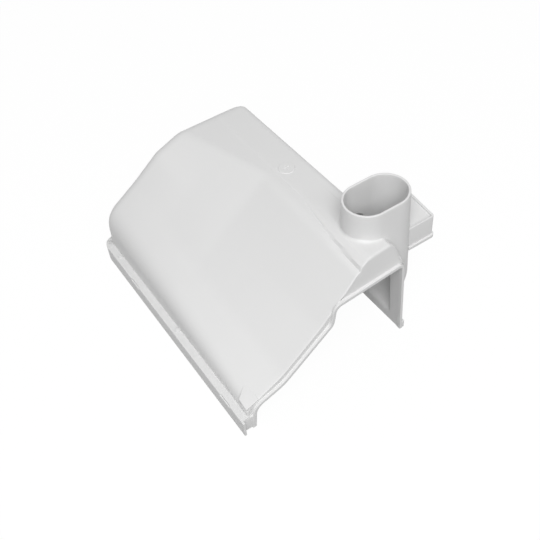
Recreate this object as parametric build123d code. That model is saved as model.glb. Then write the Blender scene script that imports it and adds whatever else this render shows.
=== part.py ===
from build123d import *
import os

# Driving dimensions in millimetres: x to the right, y to the back, z up from the table

# Cutting bodies: how far a large one reaches, and how far a small one goes past a face
far = 400.0
over = 1.0

# Walls
wall = 2.4
side_draft = 0.032
left_foot = 6.7
right_foot = 182.5
back_face = 249.0
back_round = 14.0

# Roof: each crossing gives the height at the left wall, three creases (x, z) and the height at the right wall
plateau = 113.5
ridge_drop = 0.3
front_edge_drop = 1.5
apex_drop = 26.0
back_drop = 11.0
front_crossing = [26.6, (46.0, 42.2), (88.0, 72.3), (130.0, plateau - front_edge_drop), 95.0]
fold_crossing = [46.0, (45.0, 57.0), (78.0, 77.0), (135.0, plateau - ridge_drop), plateau]
apex_crossing = [50.0, (46.0, 68.0), (77.0, plateau - apex_drop), (121.0, plateau - ridge_drop), plateau]
back_crossing = [54.0, (47.0, 80.5), (74.5, plateau - back_drop), (102.0, plateau - ridge_drop), plateau]
left_trims = [8.0, 16.0, 16.0, 16.0]
crease_trims = [9.0, 9.0, 9.0, 6.0]
fold_at = 116.0
fold_slant = 0.13
apex_at = 186.0
level_share = 0.4

# Front plane: it leaves the left tip and runs slightly to the back
front_at = -21.4
front_slant = 0.049
front_run = 25.0

# Front lip: the drawer mouth's edge from the left foot over the arch to the right wall
mouth_top = 88.0
mouth_left = [(14.0, 0.0), (16.5, 24.0), (46.5, 31.5), (101.0, 69.0), (104.5, mouth_top)]
mouth_proud = 0.3
mouth_trims = [8.0, 8.0, 4.0, 5.0, 4.0]
lip_height = 3.8
lip_depth = 2.5

# Front face above the lip's ledge: from face_start it turns further to the back than the lip
face_start = 118.0
face_slant = 0.0574

# Rim channel along the left side
skirt_height = 18.0
skirt_thickness = 2.0
rim_front = -23.5
rim_corner = 15.0
rim_end = 20.0
web_setback = 1.0
plate_thickness = 2.0
plate_foot = 1.5
boss_radius = 2.4
boss_height = 1.6
boss_x = 5.0
boss_ys = [98.0, 216.0]
recess_depth = 1.0
recess_drop = 2.5
recess_spans = [(-1.0, 15.0), (166.0, 183.0)]

# Right foot bead
bead_height = 9.0
bead_out = 2.6

# Spout
spout_left = 144.4
spout_right = 207.0
spout_y = 24.7
spout_radius = 21.5
spout_draft = 0.025
spout_top = 146.0
spout_wall = 2.2
spout_round = 0.7
column_full = 50.0
column_foot = 7.0
column_out = 2.0
column_bulge = 6.0

# Shoulder under the spout: outlines (x, height over the plateau) at the front and where it sinks in
shoulder_front = [(131.4, -5.5), (133, 1.4), (139, 5.2), (144.5, 6.1), (166, 4.5), (174.4, -6.5), (178, -20)]
shoulder_back = [(144, -5.5), (145.5, -0.9), (148.5, -0.6), (153, -0.5), (169.5, -1.5), (176.5, -6.5)]
shoulder_back += [(178.5, -13.5)]
shoulder_trims = [0.4, 0.5, 2.0, 2.0, 3.0, 3.0, 0.5]
shoulder_end = 92.0
shoulder_depth = 23.5

# Side box: a shallow dish on top, hollow and open below
tray_right = 231.0
tray_front = 9.0
tray_back = 50.0
tray_floor = 76.5
tray_top = 101.0
tray_rise = 5.0
tray_wall = 2.0
tray_dish = 2.5
tray_lip = 1.6
tray_lip_height = 3.6
tray_lip_drop = 1.0

# Square corner block at the left end of the lip
block_height = 27.5
block_right = (20.0, 32.6)
block_left_back = -7.0
block_right_back = 3.0
pocket_edge = 1.0
pocket_width = 5.0
pocket_height = 2.2
pocket_depth = 2.0

# Moulding marks on the roof
gate_at = (156.0, 130.0)
gate_radius = 8.2
gate_height = 1.0
cross_length = 6.0
cross_width = 1.2
cross_depth = 0.6


def shifted(points, insets):
    """Moves each stretch of an open outline to its right by its own inset and meets the neighbours again."""
    lines = []
    for (x0, z0), (x1, z1), inset in zip(points, points[1:], insets):
        along = Vector(x1 - x0, z1 - z0, 0).normalized()
        aside = Vector(along.Y, -along.X, 0) * inset
        lines.append((Vector(x0, z0, 0) + aside, along))
    corners = [lines[0][0]]
    for (p, u), (q, v) in zip(lines, lines[1:]):
        reach = (q - p).cross(v).Z / u.cross(v).Z
        corners.append(p + u * reach)
    last_along = lines[-1][1]
    last_end = Vector(points[-1][0], points[-1][1], 0)
    corners.append(last_end + Vector(last_along.Y, -last_along.X, 0) * insets[-1])
    return [(corner.X, corner.Y) for corner in corners]


def soft_wire(points, trims, at, slant):
    """Closed wire through (x, z) points on the plane y = at + slant * x, with inner corners softened."""
    spots = [Vector(x, at + slant * x, z) for x, z in points]
    edges = []
    start = spots[0]
    for before, corner, after, trim in zip(spots, spots[1:], spots[2:], trims):
        enter = corner + (before - corner).normalized() * trim
        leave = corner + (after - corner).normalized() * trim
        edges.append(Edge.make_line(start, enter))
        edges.append(Edge.make_bezier(enter, corner, leave))
        start = leave
    edges.append(Edge.make_line(start, spots[-1]))
    edges.append(Edge.make_line(spots[-1], spots[0]))
    return Wire(edges)


def left_face(z):
    """x of the left wall's outer face at height z."""
    return left_foot + side_draft * z


def right_face(z):
    """x of the right wall's outer face at height z."""
    return right_foot - side_draft * z


def crossing_wire(crossing, left_trim, at, slant, inset):
    """Cross-section of the hopper from the left foot over the roof to the right foot, moved in by inset."""
    left_height, low, middle, edge, right_height = crossing
    foot = -inset
    points = [(left_face(foot), foot), (left_face(left_height), left_height), low, middle, edge]
    points += [(right_face(right_height), right_height), (right_face(foot), foot)]
    points = shifted(points, [inset] * 6)
    trims = [trim - inset * 0.6 for trim in [left_trim] + crease_trims]
    return soft_wire(points, trims, at, slant)


def between(a, b, share):
    """Values of two crossings mixed by share, for the heights as for the creases."""
    if isinstance(a, tuple):
        return tuple(between(p, q, share) for p, q in zip(a, b))
    return a + (b - a) * share


def hopper(inset):
    """Hopper body: ruled from the front crossing through fold and apex to the back, rounded behind."""
    lip_back = front_at + lip_depth
    level_crossing = [between(a, b, level_share) for a, b in zip(front_crossing, fold_crossing)]
    level_crossing[-1] = plateau
    level_trim = between(left_trims[0], left_trims[1], level_share)
    level_at = between(lip_back, fold_at, level_share)
    level_slant = between(front_slant, fold_slant, level_share)
    wires = [
        crossing_wire(front_crossing, left_trims[0], lip_back - front_run, front_slant, inset),
        crossing_wire(front_crossing, left_trims[0], lip_back, front_slant, inset),
        crossing_wire(level_crossing, level_trim, level_at, level_slant, inset),
        crossing_wire(fold_crossing, left_trims[1], fold_at, fold_slant, inset),
        crossing_wire(apex_crossing, left_trims[2], apex_at, 0, inset),
        crossing_wire(back_crossing, left_trims[3], back_face - inset, 0, inset),
    ]
    body = Solid.make_loft(wires, ruled=True)
    behind = body.faces().sort_by(Axis.Y)[-1]
    rounded = [edge for edge in behind.edges() if edge.center().Z > 0.1]
    return body.fillet(back_round - inset, rounded)


def front_cutter(at, slant):
    """Everything ahead of the upright plane y = at + slant * x."""
    points = [(-far, at - slant * far), (far, at + slant * far), (far, -far), (-far, -far)]
    return extrude(make_face(Polyline(*points, close=True)), far, both=True)


def lip_cutter(offset):
    """Everything ahead of the front plane moved back by offset."""
    return front_cutter(front_at + offset, front_slant)


def face_step(inset):
    """Space ahead of the front face above the lip's ledge, where the face turns away from the lip."""
    base = mouth_top + lip_height - inset
    above = Pos(0, 0, base) * Box(2 * far, 2 * far, far, align=(Align.CENTER, Align.CENTER, Align.MIN))
    at = front_at + lip_depth + inset - face_slant * face_start
    return front_cutter(at, front_slant + face_slant) & above


def shoulder(inset):
    """Raised shoulder under the spout: ruled from the front to where it sinks into the plateau."""
    front = (shoulder_front, front_at + lip_depth + inset, front_slant)
    back = (shoulder_back, shoulder_end, 0)
    wires = []
    for outline, at, slant in (front, back):
        points = [(outline[0][0], -shoulder_depth)] + outline + [(outline[-1][0], -shoulder_depth)]
        points = [(x, plateau + rise) for x, rise in points]
        points = shifted(points, [inset] * (len(points) - 1))
        wires.append(soft_wire(points, shoulder_trims, at, slant))
    return Solid.make_loft(wires, ruled=True)


def quarter(start, corner, end):
    """Quarter of an ellipse from start to end that would meet in the corner, as one smooth curve."""
    pull = 0.5523
    first = start + (corner - start) * pull
    second = end + (corner - end) * pull
    return Edge.make_bezier(start, first, second, end)


def oval(west, east, left_reach, right_reach, radius, z):
    """Closed wire: two straight sides along x from west to east and a half ellipse at each end."""
    front = spout_y - radius
    back = spout_y + radius

    def at(x, y):
        return Vector(x, y, z)

    right = east + right_reach
    left = west - left_reach
    edges = [
        Edge.make_line(at(west, front), at(east, front)),
        quarter(at(east, front), at(right, front), at(right, spout_y)),
        quarter(at(right, spout_y), at(right, back), at(east, back)),
        Edge.make_line(at(east, back), at(west, back)),
        quarter(at(west, back), at(left, back), at(left, spout_y)),
        quarter(at(left, spout_y), at(left, front), at(west, front)),
    ]
    return Wire(edges)


def spout_section(inset, drawn, z):
    """Outline of the spout at a height; drawn moves its right end from the full round to the right wall."""
    radius = spout_radius + spout_draft * (spout_top - z) - inset
    west = spout_left + spout_radius
    east = between(spout_right - spout_radius, right_face(z) + column_out - column_bulge, drawn)
    return oval(west, east, radius, between(radius, column_bulge - inset, drawn), radius, z)


def spout(inset, top):
    """Oval spout up to a height: below the roof it draws in along an S to a shallow column."""
    wires = []
    for share, drawn in ((0, 0), (0.3, 0.2), (0.7, 0.8), (1, 1)):
        z = between(column_full, column_foot + inset, share)
        wires.append(spout_section(inset, drawn, z))
    tube = Solid.make_loft([spout_section(inset, 0, top), wires[0]], ruled=True)
    return Solid.make_loft(wires) + tube


def spout_outside():
    """Outside of the spout with its top edge rounded."""
    body = spout(0, spout_top)
    return body.fillet(spout_round, body.faces().sort_by(Axis.Z)[-1].edges())


def spout_bore():
    """Inside of the spout, widening a little at the very top."""
    low = spout_section(spout_wall, 0, spout_top - spout_round)
    high = spout_section(spout_wall - 2 * spout_round, 0, spout_top + spout_round)
    return spout(spout_wall, spout_top + spout_round) + Solid.make_loft([low, high], ruled=True)


def mouth_solid(grow, front, back):
    """Drawer mouth outline grown by its own amount per stretch, between two offsets from the front plane."""
    top_right = right_face(mouth_top) - wall - mouth_proud
    foot_right = right_face(0) - wall - mouth_proud
    points = shifted(mouth_left + [(top_right, mouth_top), (foot_right, 0)], grow)
    first = soft_wire(points, mouth_trims, front_at + front, front_slant)
    return extrude(Face(first), back - front, dir=(0, 1, 0))


def lip():
    """Stepped-down lip around the drawer mouth, before the mouth itself is cut."""
    grow = [-lip_height] * 5 + [-wall - mouth_proud]
    return mouth_solid(grow, 0, lip_depth + wall)


def rim():
    """Left rim: an outer skirt and a web that leave a channel open downward beside the hopper wall.
    A thin plate closes the channel's front end."""
    web = skirt_height - skirt_thickness
    low = (Align.MIN, Align.MIN, Align.MIN)

    def slab(inset, front, base, top):
        body = Box(2 * rim_end, back_face - inset - front, top - base, align=low)
        corner = body.edges().filter_by(Axis.Z).sort_by(lambda edge: edge.center().X - edge.center().Y)[0]
        return Pos(inset, front, base) * body.fillet(rim_corner - inset, [corner])

    channel = slab(skirt_thickness, rim_front - over, -over, web)
    web_gap = slab(skirt_thickness, rim_front - over, -over, skirt_height + over) & lip_cutter(web_setback)
    side = Pos(0, rim_front, 0) * Box(left_foot + wall, back_face - rim_front, skirt_height, align=low)
    end = Pos(0, back_face - rim_end, 0) * Box(rim_end, rim_end, skirt_height, align=low)
    body = (slab(0, rim_front, 0, skirt_height) - channel - web_gap) & (side + end)
    plate = Box(mouth_left[0][0] - skirt_thickness, plate_thickness, web + over - plate_foot, align=low)
    body += Pos(skirt_thickness - over, front_at + web_setback, plate_foot) * plate
    for y0, y1 in recess_spans:
        drop = Box(recess_depth, y1 - y0, recess_drop, align=(Align.MIN, Align.MIN, Align.MAX))
        body -= Pos(0, y0, skirt_height) * drop
    for y in boss_ys:
        boss = Cylinder(boss_radius, boss_height, align=(Align.CENTER, Align.CENTER, Align.MIN))
        body += Pos(boss_x, y, skirt_height) * boss
    return body


def foot_bead():
    """Bead along the foot of the right wall."""
    front = front_at + front_slant * right_foot
    length = back_face - back_round - front
    bead = Box(bead_out + wall, length, bead_height, align=(Align.MIN, Align.MIN, Align.MIN))
    outer = bead.edges().filter_by(Axis.Y).sort_by(lambda e: e.center().X + e.center().Z)[-1]
    return Pos(right_foot - wall, front, 0) * bead.chamfer(bead_out * 0.6, None, [outer])


def tray_box(left, right, front, back, floor):
    """Straight box whose top rises toward the back."""
    slope = tray_rise / (tray_back - tray_front)
    points = [(front, floor), (back, floor)]
    points += [(y, tray_top + slope * (y - tray_front)) for y in (back, front)]
    outline = Wire.make_polygon([(left, y, z) for y, z in points], close=True)
    return extrude(Face(outline), right - left, dir=(1, 0, 0))


def side_box():
    """Box around the spout's right end with a dished lid and a small flange under its walls."""
    left = right_face(tray_top) - wall
    body = tray_box(left, tray_right, tray_front, tray_back, tray_floor)
    size = (tray_right + tray_lip - left, tray_back - tray_front + 2 * tray_lip, tray_lip_height)
    flange = Box(*size, align=(Align.MIN, Align.MIN, Align.MIN))
    body += Pos(left, tray_front - tray_lip, tray_floor - tray_lip_drop) * flange
    front = tray_front + tray_wall
    back = tray_back - tray_wall
    inner = tray_box(left, tray_right - tray_wall, front, back, tray_floor - tray_lip_drop)
    dish = inner - Pos(0, 0, -tray_dish) * inner
    return body - dish - Pos(0, 0, -tray_dish - tray_wall) * inner


def corner_block():
    """Square block that fills the left wall's rounded edge behind the lip, with a small pocket in front."""
    low = skirt_height - skirt_thickness
    front = front_at + lip_depth
    right, high = block_right
    points = [(left_face(low), low), (left_face(block_height), block_height), (right, high), (right, low)]
    outline = Wire.make_polygon([(x, front, z) for x, z in points], close=True)
    body = extrude(Face(outline), block_right_back - front, dir=(0, 1, 0))
    corners = [(0, front), (right, front), (right, block_right_back)]
    corners += [(left_face(low), block_left_back), (0, block_left_back)]
    body &= extrude(make_face(Polyline(*corners, close=True)), 2 * high)
    pocket = Box(pocket_width, 2 * pocket_depth, pocket_height, align=(Align.MIN, Align.CENTER, Align.MAX))
    return body - Pos(left_face(block_height) + pocket_edge, front, block_height - pocket_edge) * pocket


def gate_mark():
    """Low round gate pad on the plateau with a small sunk cross."""
    pad = Cylinder(gate_radius, gate_height + over, align=(Align.CENTER, Align.CENTER, Align.MIN))
    rim_edge = pad.edges().sort_by(Axis.Z)[-1]
    pad = pad.fillet(gate_height * 0.5, [rim_edge])
    bar = Box(cross_length, cross_width, 2 * cross_depth)
    cross = bar + Rot(0, 0, 90) * bar
    pad = pad - Pos(0, 0, gate_height + over) * cross
    return Pos(gate_at[0], gate_at[1], plateau - over) * pad


def dispenser_housing():
    """The whole moulding: outer bodies joined, then the cavity, the bore and the mouth cut away."""
    body = hopper(0) + shoulder(0)
    body -= lip_cutter(lip_depth)
    body -= face_step(0)
    body += spout_outside()
    for piece in (lip(), rim(), corner_block(), gate_mark(), side_box(), foot_bead()):
        body += piece
    for hollow in (hopper(wall) - lip_cutter(lip_depth + wall), shoulder(wall)):
        body -= hollow - face_step(wall)
    body -= spout_bore()
    body -= mouth_solid([0] * 6, -front_run, lip_depth + 2 * wall)
    return body


housing = dispenser_housing()
box = housing.bounding_box()
housing = Pos(-box.center().X, -box.center().Y, -box.min.Z) * housing
os.makedirs("parts", exist_ok=True)
export_step(housing, "parts/dispenser_housing.step")
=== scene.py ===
import math
import bmesh
import bpy
import numpy as np
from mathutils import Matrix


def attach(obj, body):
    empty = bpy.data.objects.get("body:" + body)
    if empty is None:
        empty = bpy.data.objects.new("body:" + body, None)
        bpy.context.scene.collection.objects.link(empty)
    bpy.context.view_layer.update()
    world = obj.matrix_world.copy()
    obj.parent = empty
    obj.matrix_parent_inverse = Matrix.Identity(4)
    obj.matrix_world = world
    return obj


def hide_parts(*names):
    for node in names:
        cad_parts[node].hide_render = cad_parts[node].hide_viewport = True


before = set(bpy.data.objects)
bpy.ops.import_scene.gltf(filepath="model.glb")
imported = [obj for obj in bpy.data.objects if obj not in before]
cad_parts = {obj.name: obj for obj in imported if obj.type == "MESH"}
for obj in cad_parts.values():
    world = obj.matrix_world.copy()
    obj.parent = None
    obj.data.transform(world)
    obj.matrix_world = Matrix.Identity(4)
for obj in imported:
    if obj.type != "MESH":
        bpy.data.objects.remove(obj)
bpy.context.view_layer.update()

# Drawing frame of the part in millimetres: x to the right, y to the back, z up from the table
centre_x = 116.3
centre_y = 112.75

# Walls
wall = 2.4
side_draft = 0.032
left_foot = 6.7
right_foot = 182.5
back_face = 249.0
back_round = 14.0
edge_round = 1.1

# Roof: each crossing gives the height at the left wall, three creases (x, z) and the height at the right wall
plateau = 113.5
ridge = plateau - 0.3
front_crossing = [26.6, (46.0, 42.2), (88.0, 72.3), (130.0, 112.0), 95.0]
fold_crossing = [46.0, (45.0, 57.0), (78.0, 77.0), (135.0, ridge), plateau]
apex_crossing = [50.0, (46.0, 68.0), (77.0, 87.5), (121.0, ridge), plateau]
back_crossing = [54.0, (47.0, 80.5), (74.5, 102.5), (102.0, ridge), plateau]
left_trims = [8.0, 11.2, 16.0, 16.0, 16.0]
crease_trim = 6.0
back_trim_growth = 7.0
back_trim_start = 234.0
back_trim_run = 14.0
fold_at = 116.0
fold_slant = 0.13
fold_spread = 1.8
apex_at = 186.0
level_share = 0.4
middle_x = 90.0

# Front plane, and the lip around the drawer mouth
front_at = -21.4
front_slant = 0.049
lip_depth = 2.5
lip_height = 3.8
lip_round = 0.45
mouth_top = 88.0
mouth_left = [(14.0, 0.0), (16.5, 24.0), (46.5, 31.5), (101.0, 69.0), (104.5, mouth_top)]
mouth_trims = [8.0, 8.0, 4.0, 5.0, 4.0]
mouth_proud = 0.3

# Front face above the lip's ledge: from face_start it turns further to the back than the lip
face_start = 118.0
face_slant = 0.0574
face_fade = 22.0
ledge_curl = 1.1
curl_start = 2.0
curl_run = 5.0

# Shoulder under the spout: outlines (x, z) at the front and where it sinks into the plateau
shoulder_front = [(90.0, -11.0), (131.4, 108.0), (133.0, 114.9), (139.0, 118.5), (144.5, 119.4)]
shoulder_front += [(166.0, 118.0), (170.5, 114.2), (174.4, 107.0), (178.0, 93.5)]
shoulder_back = [(97.0, -13.0), (144.0, 108.0), (145.5, 113.2), (148.5, 113.3), (153.0, 113.3)]
shoulder_back += [(168.0, 112.5), (173.0, 110.5), (176.5, 107.0), (178.5, 100.0)]
shoulder_end = 92.0
shoulder_bend = 1.6
shoulder_blend = 0.3
front_round = 2.4
front_round_span = (136.0, 176.0)
front_round_fade = 8.0

# Spout: marks (x, z) give where its outer side and its bore end, behind and in front
spout_left = 144.4
spout_right = 207.0
spout_y = 24.7
spout_radius = 21.5
spout_draft = 0.025
spout_top = 146.0
spout_wall = 2.2
spout_rim = 0.9
tube_foot_back = [(173.0, 112.0), (179.3, 107.0), (179.8, 90.0)]
tube_foot_front = [(168.0, 112.0), (179.5, 90.0)]
bore_foot_back = [(173.0, 110.8), (179.3, 106.0), (179.8, 90.0)]
bore_foot_front = [(144.0, 110.5), (150.0, 106.0), (165.0, 103.0), (179.5, 90.0)]
spout_fillet = 2.2
front_fillet = 2.8
right_fillet = 0.8
right_fillet_end = 179.0
right_fillet_run = 10.0

# Column under the spout on the right wall
column_full = 50.0
column_foot = 7.0
column_top = 91.0
column_out = 2.0
column_bulge = 6.0
column_border = 3.0
column_taper = 6.0
column_lap = 0.04

# Side box
tray_right = 231.0
tray_front = 9.0
tray_back = 50.0
tray_floor = 76.5
tray_top = 101.0
tray_rise = 5.0
tray_wall = 2.0
tray_dish = 2.5
tray_corner = 1.6
tray_curl = 0.55
tray_front_start = 202.0
tray_back_end = 178.4
tray_lip = 1.6
tray_lip_drop = 1.0
tray_lip_rise = 2.6
tray_lip_curl = 0.6
tray_lap = 1.0

# Left rim with its notches, studs and end plate
skirt_height = 18.0
skirt_thickness = 2.0
rim_front = -23.5
rim_corner = 15.0
rim_end = 20.0
rim_curl = 0.45
web_lap = 0.4
web_setback = 1.0
web_growth = 1.4
web_growth_start = 226.0
web_growth_run = 10.0
notch_spans = [(-1.0, 15.0), (166.0, 183.0)]
notch_depth = 1.0
notch_edge = 0.8
stud_x = 5.0
stud_ys = [98.0, 216.0]
stud_radius = 2.4
stud_height = 1.9
stud_sunk = 0.3
plate_span = (1.0, 13.0)
plate_heights = (1.5, 17.0)
plate_thickness = 2.0
plate_curl = 0.5

# Bead along the right foot
bead_out = 2.6
bead_height = 9.0
bead_round = 0.9

# Corner block: each of its boxes has its base, its top, its front and its side gap as shares of the block
block_middle = 12.0
block_right = 20.0
block_left_back = -7.0
block_right_back = 3.0
block_heights = (27.5, 32.6)
block_floor_right = 27.0
block_swell = 2.6
block_curl = 0.04
block_boxes = [(0.0, 0.62, 0.0, 0.0), (0.8, 1.0, 0.0, 0.0), (0.1, 0.95, 0.16, 0.03)]

# Gate mark on the plateau
gate_at = (156.0, 130.0)
gate_flat = 7.5
gate_edge = 0.8
gate_height = 1.0
gate_sunk = 0.25
cross_depth = 0.6
cross_reach = 3.2
cross_half = 0.8
cross_edge = 0.4

# Numbers of points on the straight and curved stretches of the hopper's and the mouth's outlines
outline_straights = (8, 22, 28, 34, 64, 78)
outline_curves = (16, 8, 8, 8, 10)
roof_columns = sum(outline_straights[:5]) + sum(outline_curves)
mouth_straights = (12, 14, 30, 8, 36, 40)
mouth_curves = (12, 12, 8, 8, 8)

# Rows of points along the hopper: close ones near the front, wider ones behind, and rows down the back wall
near_end = 62.0
near_step = 1.25
far_start = 64.0
far_margin = 3.0
far_rows = 44
foot_rows = 14

# Camera in degrees, metres and millimetres of lens, and the soft lamp in metres and watts
camera_angles = (-29.86, 47.58, -5.43)
camera_aim = (124.15, 123.25)
camera_distance = 0.82346
camera_lens = 54.2
key_place = (-0.48, -0.91, 1.27)
key_aim = (0.0, 0.0, 0.05)
key_size = 0.9
key_power = 16.3


def unit(vectors):
    """Vectors divided by their lengths."""
    return vectors / np.linalg.norm(vectors, axis=-1, keepdims=True)


def left_face(z):
    """x of the left wall's outer face at a height."""
    return left_foot + side_draft * z


def right_face(z):
    """x of the right wall's outer face at a height."""
    return right_foot - side_draft * z


def face_turn(x):
    """How far the front face above the lip's ledge stands back from the lip's line at x."""
    return face_slant * np.maximum(x - face_start, 0.0)


def rise(share):
    """Smooth S from 0 to 1."""
    share = np.clip(share, 0.0, 1.0)
    return share * share * (3.0 - 2.0 * share)


class Shape:
    """Grids of points in millimetres, gathered into one piece."""

    def __init__(self):
        self.points = []
        self.quads = []
        self.count = 0

    def grid(self, points, turn=False, keep=None, wrap=False):
        """Adds a grid of points; turn flips its faces, keep picks faces, wrap closes its columns."""
        rows, cols = points.shape[:2]
        index = np.arange(rows * cols).reshape(rows, cols) + self.count
        if wrap:
            index = np.concatenate([index, index[:, :1]], axis=1)
        quads = np.stack([index[:-1, :-1], index[1:, :-1], index[1:, 1:], index[:-1, 1:]], axis=-1)
        quads = quads[keep] if keep is not None else quads.reshape(-1, 4)
        self.quads.append(quads[:, ::-1] if turn else quads)
        self.points.append(points.reshape(-1, 3))
        self.count += rows * cols

    def piece(self, name, material, angle=35.0):
        """Makes the mesh, welds equal points, drops loose and flat faces and shades it smooth but for sharp
        edges."""
        points = (np.concatenate(self.points) - (centre_x, centre_y, 0.0)) / 1000.0
        quads = np.concatenate(self.quads)
        mesh = bpy.data.meshes.new(name)
        mesh.vertices.add(len(points))
        mesh.vertices.foreach_set("co", points.astype(np.float32).ravel())
        mesh.loops.add(quads.size)
        mesh.loops.foreach_set("vertex_index", quads.astype(np.int32).ravel())
        mesh.polygons.add(len(quads))
        mesh.polygons.foreach_set("loop_start", np.arange(0, quads.size, 4, dtype=np.int32))
        mesh.update(calc_edges=True)
        mesh.validate()
        work = bmesh.new()
        work.from_mesh(mesh)
        bmesh.ops.remove_doubles(work, verts=work.verts, dist=2e-6)
        bmesh.ops.dissolve_degenerate(work, edges=work.edges, dist=1e-6)
        loose = [vertex for vertex in work.verts if not vertex.link_faces]
        bmesh.ops.delete(work, geom=loose, context="VERTS")
        work.to_mesh(mesh)
        work.free()
        mesh.polygons.foreach_set("use_smooth", np.ones(len(mesh.polygons), dtype=bool))
        mesh.set_sharp_from_angle(angle=math.radians(angle))
        mesh.materials.append(material)
        item = bpy.data.objects.new(name, mesh)
        bpy.context.collection.objects.link(item)
        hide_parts("dispenser_housing")
        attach(item, "root")
        return item


def parabola(enter, corner, leave, bend):
    """Parabola arc from enter to leave whose ends point at the corner, at shares bend of its run."""
    return (1 - bend) ** 2 * enter + 2 * bend * (1 - bend) * corner + bend**2 * leave


def soft_outline(corners, trims, straights, curves, crowd=None):
    """Outlines through rows of corner points: straight stretches joined by parabola arcs that start and end
    a trim away from each inner corner. straights and curves give the number of points on each; the stretch
    numbered crowd has its points crowded toward its start."""
    parts = []
    start = corners[:, 0]
    for i, count in enumerate(curves):
        corner = corners[:, i + 1]
        enter = corner + unit(corners[:, i] - corner) * trims[:, i, None]
        leave = corner + unit(corners[:, i + 2] - corner) * trims[:, i, None]
        share = np.linspace(0.0, 1.0, straights[i], endpoint=False)[None, :, None]
        share = share**1.8 if i == crowd else share
        parts.append(start[:, None] + (enter - start)[:, None] * share)
        bend = np.linspace(0.0, 1.0, count, endpoint=False)[None, :, None]
        parts.append(parabola(enter[:, None], corner[:, None], leave[:, None], bend))
        start = leave
    share = np.linspace(0.0, 1.0, straights[-1])[None, :, None]
    parts.append(start[:, None] + (corners[:, -1] - start)[:, None] * share)
    return np.concatenate(parts, axis=1)


def inset_corners(corners, inset):
    """Corners of the outlines moved inward by an inset, each along the mitre of its two stretches."""
    along = unit(corners[:, 1:] - corners[:, :-1])
    aside = np.stack([along[..., 1], -along[..., 0]], axis=-1)
    first = aside[:, :-1]
    second = aside[:, 1:]
    mitre = (first + second) / (1.0 + np.sum(first * second, axis=-1, keepdims=True))
    moves = np.concatenate([aside[:, :1], mitre, aside[:, -1:]], axis=1)
    moved = corners + moves * inset[:, None, None]
    moved[:, 0, 1] = 0.0
    moved[:, -1, 1] = 0.0
    return moved


def smoothed(track, spread):
    """Rows of values averaged along the first axis with a bell curve, the ends carried on straight."""
    reach = int(4 * spread)
    bell = np.exp(-0.5 * (np.arange(-reach, reach + 1) / spread) ** 2)
    bell = bell / bell.sum()
    flat = track.reshape(len(track), -1)
    padded = np.pad(flat, ((reach, reach), (0, 0)), mode="reflect", reflect_type="odd")
    rows = np.arange(len(track))[:, None] + np.arange(2 * reach + 1)[None]
    return np.einsum("k,nkc->nc", bell, padded[rows]).reshape(track.shape)


def crossing_tracks():
    """Corners, left trims and planes of the hopper's crossings at every millimetre from front to back.
    Between five crossings they change evenly, then a bell curve softens the folds."""

    def corners(crossing):
        left, low, middle, edge, right = crossing
        rows = [(left_face(0), 0), (left_face(left), left), low, middle, edge]
        return np.array(rows + [(right_face(right), right), (right_face(0), 0)], dtype=float)

    drawn = (front_crossing, front_crossing, fold_crossing, apex_crossing, back_crossing)
    table = np.array([corners(crossing) for crossing in drawn])
    table[1] = table[0] + (table[2] - table[0]) * level_share
    table[1, 5] = (right_face(plateau), plateau)
    lip_back = front_at + lip_depth
    planes = [(lip_back, front_slant), (0, 0), (fold_at, fold_slant), (apex_at, 0.0), (back_face, 0.0)]
    planes = np.array(planes)
    planes[1] = planes[0] + (planes[2] - planes[0]) * level_share
    trims = np.array(left_trims)
    place = planes[:, 0] + planes[:, 1] * middle_x
    fine = np.arange(place[0], place[-1] + 0.5, 1.0)
    values = np.concatenate([table.reshape(5, -1), planes, trims[:, None]], axis=1)
    track = np.stack([np.interp(fine, place, column) for column in values.T], axis=1)
    return fine, smoothed(track, fold_spread)


track_places, track_values = crossing_tracks()


def crossings(places):
    """Corners, trims and planes at the given places along the hopper."""
    columns = [np.interp(places, track_places, column) for column in track_values.T]
    values = np.stack(columns, axis=1)
    trims = np.full((len(places), 5), crease_trim)
    trims[:, 0] = values[:, 16]
    trims[:, 4] = crease_trim + back_trim_growth * rise((places - back_trim_start) / back_trim_run)
    return values[:, :14].reshape(-1, 7, 2), trims, values[:, 14], values[:, 15]


def shoulder_height(x, y):
    """Height of the shoulder under the spout: straight stretches over x whose corners move from the front to
    where it sinks into the plateau. Its left side is a steep step that bends away to the right."""
    front = np.array(shoulder_front)
    back = np.array(shoulder_back)
    lip_back = front_at + lip_depth + front_slant * x
    share = np.clip((y - lip_back) / (shoulder_end - lip_back), 0.0, 1.0)
    mix = np.stack([share**shoulder_bend, share], axis=-1)[..., None, :]
    knots = front + (back - front) * mix
    height = knots[..., 0, 1]
    for i in range(len(front) - 1):
        width = knots[..., i + 1, 0] - knots[..., i, 0]
        slope = (knots[..., i + 1, 1] - knots[..., i, 1]) / width
        height = height + slope * np.clip(x - knots[..., i, 0], 0.0, width)
    return height


def spout_section(z, inset):
    """Half width along y, right centre and right reach of the spout's oval at a height. Under the roof the
    right end draws in along an S to a shallow bulge on the right wall."""
    half = spout_radius + spout_draft * (spout_top - z) - inset
    drawn = rise((column_full - z) / (column_full - column_foot))
    east = spout_right - spout_radius
    east = east + (right_face(z) + column_out - column_bulge - east) * drawn
    reach = half + (column_bulge - inset - half) * drawn
    return half, east, reach


def inside_spout(points, inset):
    """True for points inside the spout and its column by more than an inset."""
    x, y, z = np.moveaxis(points, -1, 0)
    half, east, reach = spout_section(z, inset)
    west = spout_left + spout_radius
    right = np.maximum(x - east, 0.0) / reach
    left = np.maximum(west - x, 0.0) / half
    away = np.maximum(right, left) ** 2 + ((y - spout_y) / half) ** 2
    return (away < 1.0) & (z > column_foot + inset)


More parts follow.
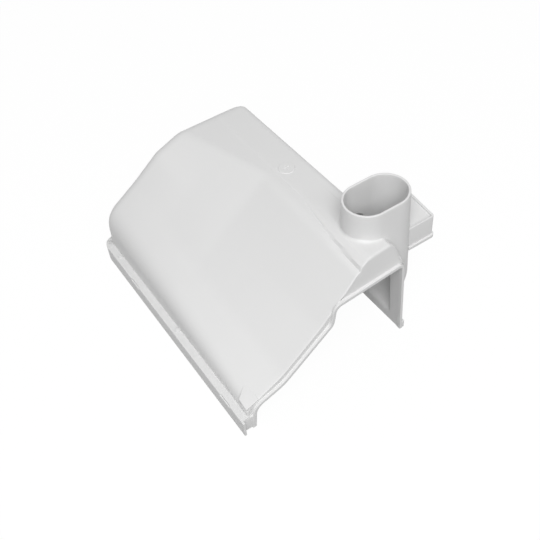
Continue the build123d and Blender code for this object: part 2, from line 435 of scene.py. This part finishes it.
def roof_details(points, inset):
    """Adds to the roof the shoulder as a soft maximum and the quarter-round fillet at the spout's foot, which
    is widest in front."""
    x, y, z = np.moveaxis(points, -1, 0)
    lift = (shoulder_height(x, y) - inset - z) / shoulder_blend
    z = z + shoulder_blend * np.logaddexp(0.0, lift)
    west = spout_left + spout_radius
    east = spout_right - spout_radius
    radius = spout_radius + spout_draft * (spout_top - z)
    gap = np.hypot(x - np.clip(x, west, east), y - spout_y) - radius
    fillet = spout_fillet + (front_fillet - spout_fillet) * rise((spout_y - y) / spout_radius)
    on_roof = rise((right_fillet_end - x) / right_fillet_run)
    fillet = right_fillet + (fillet - right_fillet) * on_roof
    short = np.clip(fillet - gap, 0.0, fillet)
    z = z + fillet - np.sqrt(fillet**2 - short**2)
    return np.stack([x, y, z], axis=-1)


def skin(places, insets, ahead, detailed):
    """One side of the hopper: outlines at the given places, each inset and moved ahead along y, then the back
    wall as rows that bring the last outline down to the table."""
    corners, trims, at, slant = crossings(places)
    corners = inset_corners(corners, insets)
    trims = np.maximum(trims - 0.6 * insets[:, None], 0.4)
    flat = soft_outline(corners, trims, outline_straights, outline_curves, crowd=4)
    x = flat[..., 0]
    y = at[:, None] + slant[:, None] * x + ahead[:, None]
    points = np.stack([x, y, flat[..., 1]], axis=-1)
    if detailed:
        roof = roof_details(points[:, :roof_columns], insets[:, None])
        fade = 1.0 - rise((places - places[0]) / face_fade)
        roof[..., 1] += face_turn(roof[..., 0]) * fade[:, None]
        behind = (places - places[0] + ahead)[:, None]
        short = np.clip(front_round - behind, 0.0, front_round)
        low, high = front_round_span
        across = roof[..., 0]
        on_top = rise((across - low) / front_round_fade) * rise((high - across) / front_round_fade)
        roof[..., 2] -= on_top * (front_round - np.sqrt(front_round**2 - short**2))
        points[:, :roof_columns] = roof
    down = np.linspace(1.0, 0.0, foot_rows)[1:, None, None]
    wall_rows = points[-1:] * np.concatenate([np.ones_like(down), np.ones_like(down), down], axis=-1)
    return np.concatenate([points, wall_rows])


def face_centres(points):
    """Middle of each face of a grid."""
    return (points[:-1, :-1] + points[1:, :-1] + points[1:, 1:] + points[:-1, 1:]) / 4.0


def mouth_outline():
    """Edge of the drawer mouth from the left foot over the arch to the right foot, and its outward ways."""
    top_right = right_face(mouth_top) - wall - mouth_proud
    foot_right = right_face(0) - wall - mouth_proud
    corners = np.array([mouth_left + [(top_right, mouth_top), (foot_right, 0.0)]], dtype=float)
    flat = soft_outline(corners, np.array([mouth_trims]), mouth_straights, mouth_curves)[0]
    along = unit(np.gradient(flat, axis=0))
    return flat, np.stack([-along[:, 1], along[:, 0]], axis=-1)


def on_front(flat, depth):
    """Points (x, z) set on the slightly turned front plane at a depth behind it."""
    return np.stack([flat[..., 0], front_at + front_slant * flat[..., 0] + depth, flat[..., 1]], axis=-1)


def curve_middles(straights, curves):
    """Numbers of the points in the middle of each curve of a soft outline."""
    ends = np.cumsum(np.add(straights[:-1], curves))
    return ends - np.array(curves) // 2


def matched_mouth(flat, outward):
    """Mouth edge and its outward directions with one point for each point of the hopper's outline: both run
    between paired marks."""
    steps = np.linalg.norm(np.diff(flat, axis=0), axis=1)
    run = np.concatenate([[0.0], np.cumsum(steps)])
    first, second, *others, last = curve_middles(mouth_straights, mouth_curves)
    creases = [front_crossing[2][0], front_crossing[3][0]]
    crease_runs = np.interp(creases, flat[:last, 0], run[:last])
    marks = [0.0, run[first], run[second], *crease_runs, run[last], run[-1]]
    count = sum(outline_straights) + sum(outline_curves)
    middles = curve_middles(outline_straights, outline_curves)
    place = np.interp(np.arange(count), [0, *middles, count - 1], marks)
    columns = np.concatenate([flat, outward], axis=1).T
    values = np.stack([np.interp(place, run, column) for column in columns], axis=-1)
    return values[:, :2], unit(values[:, 2:])


def ledge_run(low, rim):
    """Height of the front face over the lip's ledge and the radius at its foot."""
    height = np.linalg.norm(rim[:, [0, 2]] - low, axis=1)
    return height, ledge_curl * rise((height - curl_start) / curl_run)


def lip_band(edge, outward, rim):
    """Lip: a profile with two rounded edges carried along the mouth: reveal, front face and ledge. The ledge
    ends where the front face's round begins; on the right wall the lip is as thick as the wall."""
    arc = np.radians(np.linspace(0.0, 90.0, 5))
    share = rise(outward[:, :1])
    height = lip_height + (wall + mouth_proud - lip_height) * share
    inner_out = np.concatenate([[0.0], lip_round * (1 - np.cos(arc))])
    inner_deep = np.concatenate([[lip_depth + wall], lip_round * (1 - np.sin(arc))])
    outer_short = np.concatenate([lip_round * (1 - np.sin(arc)), [0.0]])
    outer_deep = np.concatenate([lip_round * (1 - np.cos(arc)), [lip_depth]])
    out = np.concatenate([np.broadcast_to(inner_out, (len(edge), 6)), height - outer_short], axis=1)
    moved = edge[:, None] + outward[:, None] * out[..., None]
    moved[..., 1] = np.maximum(moved[..., 1], 0.0)
    moved[[0, -1], :, 1] = 0.0
    deep = np.repeat(np.concatenate([inner_deep, outer_deep])[None], len(edge), axis=0)
    deep[:, -1] -= ledge_run(moved[:, -1], rim)[1]
    return on_front(moved, deep)


def front_face(ledge, rim):
    """Front face from the lip's ledge to the roof's front edge: a concave quarter round, then straight."""
    low = ledge[:, [0, 2]]
    height, curl = ledge_run(low, rim)
    up = (rim[:, [0, 2]] - low) / np.maximum(height, 0.001)[:, None]
    angle = np.radians(np.linspace(0.0, 90.0, 7))[:, None]
    flat = low + up * (curl * (1 - np.cos(angle)))[..., None]
    round_rows = on_front(flat, lip_depth + curl * (np.sin(angle) - 1))
    share = np.linspace(0.0, 1.0, 6)[1:, None, None]
    return np.concatenate([round_rows, round_rows[-1] + (rim - round_rows[-1]) * share])


def hopper_shell(material):
    """Hopper: an outer and an inner skin, joined by the foot all round and by the front face with the lip."""
    turn = np.radians(np.linspace(90.0, 0.0, 6))
    bend = np.radians(np.linspace(0.0, 90.0, 12))
    start = track_places[0]
    near = np.arange(start + wall, near_end, near_step)
    far = np.linspace(far_start, back_face - back_round - far_margin, far_rows)
    main = np.concatenate([near, far])
    places = np.concatenate([np.full(6, start), main, back_face - back_round + back_round * np.sin(bend)])
    insets = np.concatenate([edge_round * (1 - np.cos(turn)), 0 * main, back_round * (1 - np.cos(bend))])
    ahead = np.concatenate([edge_round * (1 - np.sin(turn)), 0 * main, 0 * bend])
    outer = skin(places, insets, ahead, True)
    on_right = rise((np.arange(outer.shape[1]) - roof_columns) / outline_curves[-1] + 1.0)
    outer[:6, :, 0] += insets[:6, None] * on_right
    inner_round = back_round - wall
    inside = np.concatenate([np.linspace(start + wall, near[3], 6), np.linspace(near[4], far[-1], len(main))])
    inside = np.concatenate([inside, back_face - back_round + inner_round * np.sin(bend)])
    insets = wall + np.concatenate([0 * turn, 0 * main, inner_round * (1 - np.cos(bend))])
    inner = skin(inside, insets, 0 * inside, False)
    shape = Shape()
    shape.grid(outer, turn=True, keep=~inside_spout(face_centres(outer), spout_wall / 2))
    shape.grid(inner, keep=~inside_spout(face_centres(inner), spout_wall / 2))

    def foot(points):
        rows = len(points)
        return np.concatenate([points[:, 0], points[-1, 1:-1], points[rows - 1::-1, -1]])

    shape.grid(np.stack([foot(inner), foot(outer)]))
    flat, outward = mouth_outline()
    band = lip_band(*matched_mouth(flat, outward), outer[0])
    shape.grid(band)
    shape.grid(front_face(band[:, -1], outer[0]), turn=True)
    shape.grid(np.stack([band[:, 0], inner[0]]))
    return shape.piece("hopper_shell", material)


def oval_run(count):
    """Evenly spaced points round the spout's oval: x of the centre line beside each and its outward angle."""
    west = spout_left + spout_radius
    east = spout_right - spout_radius
    half_turn = math.pi * spout_radius
    side = east - west
    marks = np.cumsum([0.0, half_turn, side, half_turn, side])
    place = np.linspace(0.0, marks[-1], count, endpoint=False)
    middle = np.interp(place, marks, [east, east, west, west, east])
    angle = np.radians(np.interp(place, marks, [-90.0, 90.0, 90.0, 270.0, 270.0]))
    return middle, angle


def height_at(x, marks):
    """Height at x on straight stretches between marks (x, z)."""
    return np.interp(x, *np.transpose(marks))


def spout_tube(material):
    """Spout: a wall profile, outer side up, rounded rim over and inner side down, carried round the oval.
    It ends inside the roof's thickness; beside the right wall it runs further down into the column."""
    middle, angle = oval_run(180)
    x = middle + spout_radius * np.cos(angle)
    behind = np.sin(angle) > 0
    base = np.where(behind, height_at(x, tube_foot_back), height_at(x, tube_foot_front))
    inner_base = np.where(behind, height_at(x, bore_foot_back), height_at(x, bore_foot_front))
    high = spout_top - spout_rim
    arc = np.radians(np.linspace(0.0, 90.0, 6))
    share = np.linspace(0.0, 1.0, 18)[:, None]
    outside = base + (high - base) * share
    inside = high + (inner_base - high) * share
    over = high + spout_rim * np.concatenate([np.sin(arc), np.cos(arc)])
    z = np.concatenate([outside, np.repeat(over[:, None], len(x), axis=1), inside])
    outer_curl = spout_rim * (1 - np.cos(arc))
    inner_curl = spout_wall - spout_rim * (1 - np.sin(arc))
    inset = np.concatenate([np.zeros(18), outer_curl, inner_curl, np.full(18, spout_wall)])
    radius = spout_radius + spout_draft * (spout_top - z) - inset[:, None]
    points = np.stack([middle + radius * np.cos(angle), spout_y + radius * np.sin(angle), z], axis=-1)
    shape = Shape()
    shape.grid(points, turn=True, wrap=True)
    return shape.piece("spout_tube", material)


def column_outline(z, inset, start):
    """Right part of the spout's section at each height: straight sides from start, then half an ellipse."""
    half, east, reach = spout_section(z, inset)
    opening = np.arccos(np.clip((start - east) / reach, 0.0, 1.0))
    turn = np.linspace(-1.0, 1.0, 33)
    around = opening * turn
    curve_x = east + reach * np.cos(around)
    curve_y = spout_y + half * np.sin(around)
    side = np.linspace(0.0, 1.0, 7)[:-1]
    side_x = start + (curve_x[:, :1] - start) * side
    front_y = np.repeat(curve_y[:, :1], 6, axis=1)
    back_y = np.repeat(curve_y[:, -1:], 6, axis=1)
    x = np.concatenate([side_x, curve_x, side_x[:, ::-1]], axis=1)
    y = np.concatenate([front_y, curve_y, back_y], axis=1)
    return np.stack([x, y, np.broadcast_to(z, x.shape)], axis=-1)


def spout_column(material):
    """Column under the spout on the right wall: its outer side, and its open inner side with a sill below and
    a thin border that lies on the wall's inner face."""
    z = np.linspace(column_foot - 1.0, column_top, 44)[:, None]
    outer = column_outline(z, 0.0, right_face(z) - wall / 2)
    z = np.linspace(column_foot + spout_wall, column_top, 44)[:, None]
    inner_face = right_face(z) - wall - column_lap
    inner = column_outline(z, spout_wall, inner_face)
    inner[..., 0] = inner_face + (inner[..., 0] - inner_face) * rise((z - z[0]) / column_taper)
    front = inner[:, :1] - (0.0, column_border, 0.0)
    back = inner[:, -1:] + (0.0, column_border, 0.0)
    inner = np.concatenate([front, inner, back], axis=1)
    sill = inner[:1].copy()
    sill[..., 0] = inner_face[0]
    below = sill - (0.0, 0.0, column_border)
    inner = np.concatenate([below, sill, inner])
    shape = Shape()
    shape.grid(outer, turn=True)
    shape.grid(inner)
    return shape.piece("spout_column", material)


def swept(path, normal, across, height):
    """Closed profile carried along a path in plan: across is measured along the path's normals, height is z.
    Both ends are closed with a fan."""
    plan = path[:, None] + normal[:, None] * across[..., None]
    points = np.concatenate([plan, height[..., None]], axis=-1)
    first = np.broadcast_to(points[:1].mean(axis=1, keepdims=True), points[:1].shape)
    last = np.broadcast_to(points[-1:].mean(axis=1, keepdims=True), points[-1:].shape)
    return np.concatenate([first, points, last])


def soft_loop(corners, trim, steps):
    """Closed outline with every corner rounded by a parabola arc."""
    corners = np.array(corners, dtype=float)
    before = np.roll(corners, 1, axis=0)
    after = np.roll(corners, -1, axis=0)
    enter = corners + unit(before - corners) * trim
    leave = corners + unit(after - corners) * trim
    bend = np.linspace(0.0, 1.0, steps)[None, :, None]
    return parabola(enter[:, None], corners[:, None], leave[:, None], bend).reshape(-1, 2)


def plan_path(corners, radii, spacing):
    """Path in plan through corner points rounded by arcs, evenly spaced, with normals to the path's left."""
    corners = np.array([corners], dtype=float)
    trims = np.array([radii], dtype=float)
    flat = soft_outline(corners, trims, [40] * (len(radii) + 1), [10] * len(radii))[0]
    run = np.concatenate([[0.0], np.cumsum(np.linalg.norm(np.diff(flat, axis=0), axis=1))])
    place = np.linspace(0.0, run[-1], int(run[-1] / spacing) + 1)
    path = np.stack([np.interp(place, run, flat[:, 0]), np.interp(place, run, flat[:, 1])], axis=-1)
    along = unit(np.gradient(path, axis=0))
    return path, np.stack([-along[:, 1], along[:, 0]], axis=-1)


def side_box(material):
    """Side box: an upright wall carried round three sides with a top that rises to the back, a flange strip
    under it, and a lid a little below the wall's top, between the spout and the wall."""
    half = tray_wall / 2
    corners = [(tray_front_start, tray_front + half), (tray_right - half, tray_front + half)]
    corners += [(tray_right - half, tray_back - half), (tray_back_end, tray_back - half)]
    path, normal = plan_path(corners, [tray_corner, tray_corner], 1.0)

    def top(y):
        return tray_top + tray_rise * (y - tray_front) / (tray_back - tray_front)

    arc = np.radians(np.linspace(0.0, 90.0, 5))
    early = tray_curl * (1 - np.cos(arc))
    late = tray_curl * (1 - np.sin(arc))
    across = np.concatenate([[-half], early - half, half - late, [half]])
    short = np.concatenate([late, early])
    base = np.full((len(path), 1), tray_floor)
    height = np.concatenate([base, top(path[:, 1:]) - short, base], axis=1)
    shape = Shape()
    shape.grid(swept(path, normal, np.broadcast_to(across, height.shape), height), wrap=True)
    low = tray_floor - tray_lip_drop
    high = tray_floor + tray_lip_rise
    edge = -half - tray_lip
    strip = soft_loop([(edge, low), (edge, high), (half, high), (half, low)], tray_lip_curl, 4)
    size = (len(path), len(strip))
    strip_across = np.broadcast_to(strip[:, 0], size)
    shape.grid(swept(path, normal, strip_across, np.broadcast_to(strip[:, 1], size)), wrap=True)
    y = np.linspace(tray_front + half, tray_back - half, 60)
    lid = np.broadcast_to(top(y) - tray_dish, (6, 60))
    radius = spout_section(top(y) - tray_dish, 0.0)[0] - tray_lap
    bow = np.sqrt(np.maximum(radius**2 - (y - spout_y) ** 2, 0.0))
    left = np.where(bow > 0.0, spout_right - spout_radius + bow, right_face(tray_top) - tray_lap)
    share = np.linspace(0.0, 1.0, 6)[:, None]
    x = left + (tray_right - half - left) * share
    lid = np.stack([x, np.broadcast_to(y, x.shape), lid], axis=-1)
    shape.grid(lid)
    shape.grid(lid - (0.0, 0.0, tray_wall), turn=True)
    return shape.piece("side_box", material)


def left_rim(material):
    """Left rim: a skirt and a web as one angled profile carried along the left side and round the back
    corner, with shallow notches in the skirt's upper edge, small round studs on the web and an end plate."""
    corners = [(rim_end, back_face), (0.0, back_face), (0.0, rim_front)]
    path, normal = plan_path(corners, [rim_corner], 0.5)
    web = skirt_height - skirt_thickness
    reach = left_foot + wall - web_lap
    points = [(0.0, 0.0), (0.0, web - 0.5), (0.0, skirt_height), (reach, skirt_height), (reach, web)]
    points += [(skirt_thickness, web), (skirt_thickness, 0.0)]
    loop = soft_loop(points, rim_curl, 4)
    across = np.broadcast_to(loop[:, 0], (len(path), len(loop))).copy()
    height = np.broadcast_to(loop[:, 1], across.shape)
    y = path[:, 1:]
    notch = np.zeros_like(y)
    for low, high in notch_spans:
        inside = rise((y - low) / notch_edge + 0.5) * rise((high - y) / notch_edge + 0.5)
        notch = np.maximum(notch, inside)
    upper_edge = (height > web - 0.55) & (across < 0.9)
    across = across + notch_depth * notch * upper_edge
    web_start = front_at + web_setback
    across = np.where(y < web_start, np.minimum(across, skirt_thickness), across)
    growth = web_growth * rise((y - web_growth_start) / web_growth_run)
    across = across + growth * (across > skirt_thickness + 0.5)
    shape = Shape()
    shape.grid(swept(path, normal, across, height), wrap=True)
    for stud_y in stud_ys:
        shape.grid(stud(stud_x, stud_y, skirt_height - stud_sunk, stud_radius, stud_height), wrap=True)
    low = (plate_span[0], web_start, plate_heights[0])
    high = (plate_span[1], web_start + plate_thickness, plate_heights[1])
    shape.grid(slab(low, high, plate_curl), turn=True, wrap=True)
    return shape.piece("left_rim", material)


def stud(x, y, z, radius, height):
    """Round stud with a rounded top: a profile turned about an upright axis."""
    arc = np.radians(np.linspace(0.0, 90.0, 6))
    curl = min(0.5, radius / 3, height / 3)
    out = np.concatenate([[radius], radius - curl * (1 - np.cos(arc)), [0.0]])
    up = np.concatenate([[0.0], height - curl * (1 - np.sin(arc)), [height]])
    angle = np.linspace(0.0, 2 * math.pi, 40, endpoint=False)
    ring = np.stack([out[:, None] * np.cos(angle), out[:, None] * np.sin(angle)], axis=-1)
    points = np.concatenate([ring, np.broadcast_to(up[:, None, None], ring.shape[:2] + (1,))], axis=-1)
    return points[::-1] + (x, y, z)


def slab(low, high, curl):
    """Rounded box: directions over a sphere, each pushed out to its own corner of the smaller box inside."""
    low = np.array(low, dtype=float)
    high = np.array(high, dtype=float)
    quarter = np.radians(np.linspace(0.0, 90.0, 5))
    around = np.concatenate([quarter + math.pi / 2 * i for i in range(4)])
    sign_x = np.repeat([1.0, -1.0, -1.0, 1.0], 5)
    sign_y = np.repeat([1.0, 1.0, -1.0, -1.0], 5)
    tilt = np.concatenate([quarter - math.pi / 2, quarter])[:, None]
    sign_z = np.repeat([-1.0, 1.0], 5)[:, None]
    inner = (high - low) / 2 - curl
    x = sign_x * inner[0] + curl * np.cos(around) * np.cos(tilt)
    y = sign_y * inner[1] + curl * np.sin(around) * np.cos(tilt)
    z = sign_z * inner[2] + curl * np.sin(tilt) + 0 * around
    points = np.stack([x, y, z], axis=-1)
    first = np.broadcast_to(points[:1].mean(axis=1, keepdims=True), points[:1].shape)
    last = np.broadcast_to(points[-1:].mean(axis=1, keepdims=True), points[-1:].shape)
    return np.concatenate([first, points, last]) + (low + high) / 2


def foot_bead(material):
    """Bead along the foot of the right wall: a long rounded box."""
    front = front_at + front_slant * right_foot
    low = (right_foot - wall + bead_round, front, 0.0)
    high = (right_foot + bead_out, back_face - back_round, bead_height)
    shape = Shape()
    shape.grid(slab(low, high, bead_round), turn=True, wrap=True)
    return shape.piece("foot_bead", material)


def corner_block(material):
    """Block that fills the rounded edge behind the lip's left end, in three rounded boxes around a narrow
    slot. Each is bent onto the block's eight corners by even mixing in three directions."""
    low = skirt_height - skirt_thickness
    front = front_at + lip_depth + front_slant * block_middle
    left = left_face(low)
    bottom = np.array([[(left, front), (block_right, front)],
                       [(left, block_left_back), (block_right, block_right_back)]])
    shape = Shape()
    for base, crown, near, side in block_boxes:
        box = slab((side, near, base), (1.0 - side, 1.0 - side, crown), block_curl)
        u, v, w = np.moveaxis(box, -1, 0)
        plan = np.zeros(box.shape[:2] + (2,))
        for i, j in ((0, 0), (0, 1), (1, 0), (1, 1)):
            weight = (v if i else 1 - v) * (u if j else 1 - u)
            plan = plan + weight[..., None] * bottom[i, j]
        floor = low + (block_floor_right - low) * u
        top = block_heights[0] + (block_heights[1] - block_heights[0]) * u
        top = top + block_swell * v * (1.0 - 0.5 * u)
        z = floor + w * (top - floor)
        shape.grid(np.concatenate([plan, z[..., None]], axis=-1), turn=True, wrap=True)
    return shape.piece("corner_block", material)


def gate_mark(material):
    """Gate mark on the plateau: a low round pad with a small sunk cross, as heights over a round grid."""
    inner = np.linspace(0.0, gate_flat - 0.1, 34)
    outer = np.linspace(gate_flat, gate_flat + 0.9, 9)
    radius = np.concatenate([inner, outer])[:, None]
    angle = np.linspace(0.0, 2 * math.pi, 96, endpoint=False)
    x = radius * np.cos(angle)
    y = radius * np.sin(angle)
    height = gate_height * (1 - rise((radius - gate_flat) / gate_edge)) + 0 * x
    for along, across in ((x, y), (y, x)):
        in_length = rise((cross_reach - np.abs(along)) / cross_edge)
        in_width = rise((cross_half - np.abs(across)) / cross_edge)
        height = np.minimum(height, gate_height - cross_depth * in_length * in_width)
    points = np.stack([gate_at[0] + x, gate_at[1] + y, plateau - gate_sunk + height], axis=-1)
    shape = Shape()
    shape.grid(points, wrap=True)
    return shape.piece("gate_mark", material)


class Sock:
    """A shader socket whose operators add Math nodes, so that values are written as plain expressions."""

    def __init__(self, tree, socket):
        self.tree = tree
        self.socket = socket

    def math(self, operation, *values):
        return Nodes(self.tree).add("ShaderNodeMath", {"operation": operation}, dict(enumerate(values)))[0]

    def __add__(self, other):
        return self.math("ADD", self, other)

    def __sub__(self, other):
        return self.math("SUBTRACT", self, other)

    def __mul__(self, other):
        return self.math("MULTIPLY", self, other)

    def clip(self):
        return self.math("MINIMUM", self.math("MAXIMUM", self, 0.0), 1.0)

    __radd__ = __add__
    __rmul__ = __mul__


class Nodes:
    """Adds nodes to one node tree."""

    def __init__(self, tree):
        self.tree = tree

    def add(self, kind, settings=None, inputs=None):
        """Adds a node, sets its settings first, then the values or links of its inputs; gives its outputs."""
        node = self.tree.nodes.new(kind)
        for key, value in (settings or {}).items():
            setattr(node, key, value)
        for key, value in (inputs or {}).items():
            if isinstance(value, Sock):
                self.tree.links.new(value.socket, node.inputs[key])
            else:
                node.inputs[key].default_value = value
        return [Sock(self.tree, socket) for socket in node.outputs]


def new_material(name):
    """Material with an empty node tree, and the adder of its nodes."""
    material = bpy.data.materials.new(name)
    material.use_nodes = True
    material.node_tree.nodes.clear()
    return material, Nodes(material.node_tree)


def satin_plastic():
    """White-grey moulded plastic: a faint cloudy tone, fine grain and a satin sheen that varies a little."""
    material, nodes = new_material("satin_white_plastic")
    place = nodes.add("ShaderNodeTexCoord")[3]
    cloud = nodes.add("ShaderNodeTexNoise", None, {
        "Vector": place, "Scale": 14.0, "Detail": 3.0, "Roughness": 0.55})[0]
    grain = nodes.add("ShaderNodeTexNoise", None, {"Vector": place, "Scale": 1400.0, "Detail": 2.0})[0]
    tone = 0.765 + (cloud - 0.5) * 0.03 + (grain - 0.5) * 0.012
    colour = nodes.add("ShaderNodeCombineColor", None, {"Red": tone, "Green": tone, "Blue": tone * 0.998})[0]
    rough = 0.46 + (cloud - 0.5) * 0.12 + (grain - 0.5) * 0.05
    bump = nodes.add("ShaderNodeBump", None, {"Strength": 0.03, "Distance": 0.0003, "Height": grain})[0]
    shader = nodes.add("ShaderNodeBsdfPrincipled", None, {
        "Base Color": colour, "Roughness": rough, "Normal": bump, "IOR": 1.49, "Specular IOR Level": 0.4})[0]
    nodes.add("ShaderNodeOutputMaterial", None, {"Surface": shader})
    return material


def seen_rays(nodes):
    """1 for rays from the camera, mirrored rays and rays passed on, 0 for the light that falls on things."""
    rays = nodes.add("ShaderNodeLightPath")
    return (rays[0] + rays[3] + rays[6]).clip()


def pale_floor():
    """Floor that shows white to the camera and keeps a light shadow of the object."""
    material, nodes = new_material("pale_floor")
    seen = seen_rays(nodes)
    plain = nodes.add("ShaderNodeBsdfDiffuse", None, {"Color": (0.3, 0.3, 0.3, 1.0)})[0]
    white = nodes.add("ShaderNodeEmission", None, {"Color": (1.0, 1.0, 1.0, 1.0), "Strength": 1.13})[0]
    mixed = nodes.add("ShaderNodeMixShader", None, {0: seen * 0.85, 1: plain, 2: white})[0]
    nodes.add("ShaderNodeOutputMaterial", None, {"Surface": mixed})
    mesh = bpy.data.meshes.new("floor")
    reach = 6.0
    corners = [(-reach, -reach, 0), (reach, -reach, 0), (reach, reach, 0), (-reach, reach, 0)]
    mesh.from_pydata(corners, [], [(0, 1, 2, 3)])
    floor = bpy.data.objects.new("floor", mesh)
    mesh.materials.append(material)
    bpy.context.collection.objects.link(floor)


def soft_world():
    """Even soft light from all round, white where the camera looks straight at it."""
    world = bpy.data.worlds.new("soft_world")
    bpy.context.scene.world = world
    world.use_nodes = True
    world.node_tree.nodes.clear()
    nodes = Nodes(world.node_tree)
    seen = seen_rays(nodes)
    strength = 0.45 + seen * 0.55
    light = nodes.add("ShaderNodeBackground", None, {"Color": (1.0, 1.0, 1.0, 1.0), "Strength": strength})[0]
    nodes.add("ShaderNodeOutputWorld", None, {"Surface": light})


def lamp(name, place, aim, size, power):
    """Square soft lamp at a place, turned to its aim."""
    data = bpy.data.lights.new(name, "AREA")
    data.size = size
    data.energy = power
    item = bpy.data.objects.new(name, data)
    bpy.context.collection.objects.link(item)
    back = np.array(place) - np.array(aim)
    back = back / np.linalg.norm(back)
    right = np.cross((0.0, 0.0, 1.0), back)
    right = right / np.linalg.norm(right)
    pose(item, right, np.cross(back, right), back, place)


def pose(item, right, up, back, place):
    """Sets an object's axes and place."""
    matrix = np.eye(4)
    matrix[:3, 0] = right
    matrix[:3, 1] = up
    matrix[:3, 2] = back
    matrix[:3, 3] = place
    item.matrix_world = [list(map(float, row)) for row in matrix.T]


def camera():
    """Camera at the photograph's angle: aimed at a point on the table and turned by the fitted angles."""
    data = bpy.data.cameras.new("camera")
    data.sensor_width = 36.0
    data.sensor_fit = "HORIZONTAL"
    data.lens = camera_lens
    data.clip_start = 0.01
    item = bpy.data.objects.new("camera", data)
    bpy.context.collection.objects.link(item)
    azimuth, elevation, roll = np.radians(camera_angles)
    aim = np.array(((camera_aim[0] - centre_x) / 1000, (camera_aim[1] - centre_y) / 1000, 0.0))
    level = np.array((math.cos(azimuth), math.sin(azimuth), 0.0))
    ahead = np.array((-math.sin(azimuth), math.cos(azimuth), 0.0))
    back = np.array((0.0, 0.0, math.sin(elevation))) - ahead * math.cos(elevation)
    above = np.cross(back, level)
    right = math.cos(roll) * level + math.sin(roll) * above
    up = math.cos(roll) * above - math.sin(roll) * level
    pose(item, right, up, back, aim + back * camera_distance)
    bpy.context.scene.camera = item


plastic = satin_plastic()
for build in (hopper_shell, spout_tube, spout_column, side_box, left_rim, foot_bead, corner_block, gate_mark):
    build(plastic)
pale_floor()
soft_world()
lamp("key", key_place, key_aim, key_size, key_power)
camera()
bpy.context.scene.view_settings.view_transform = "Standard"
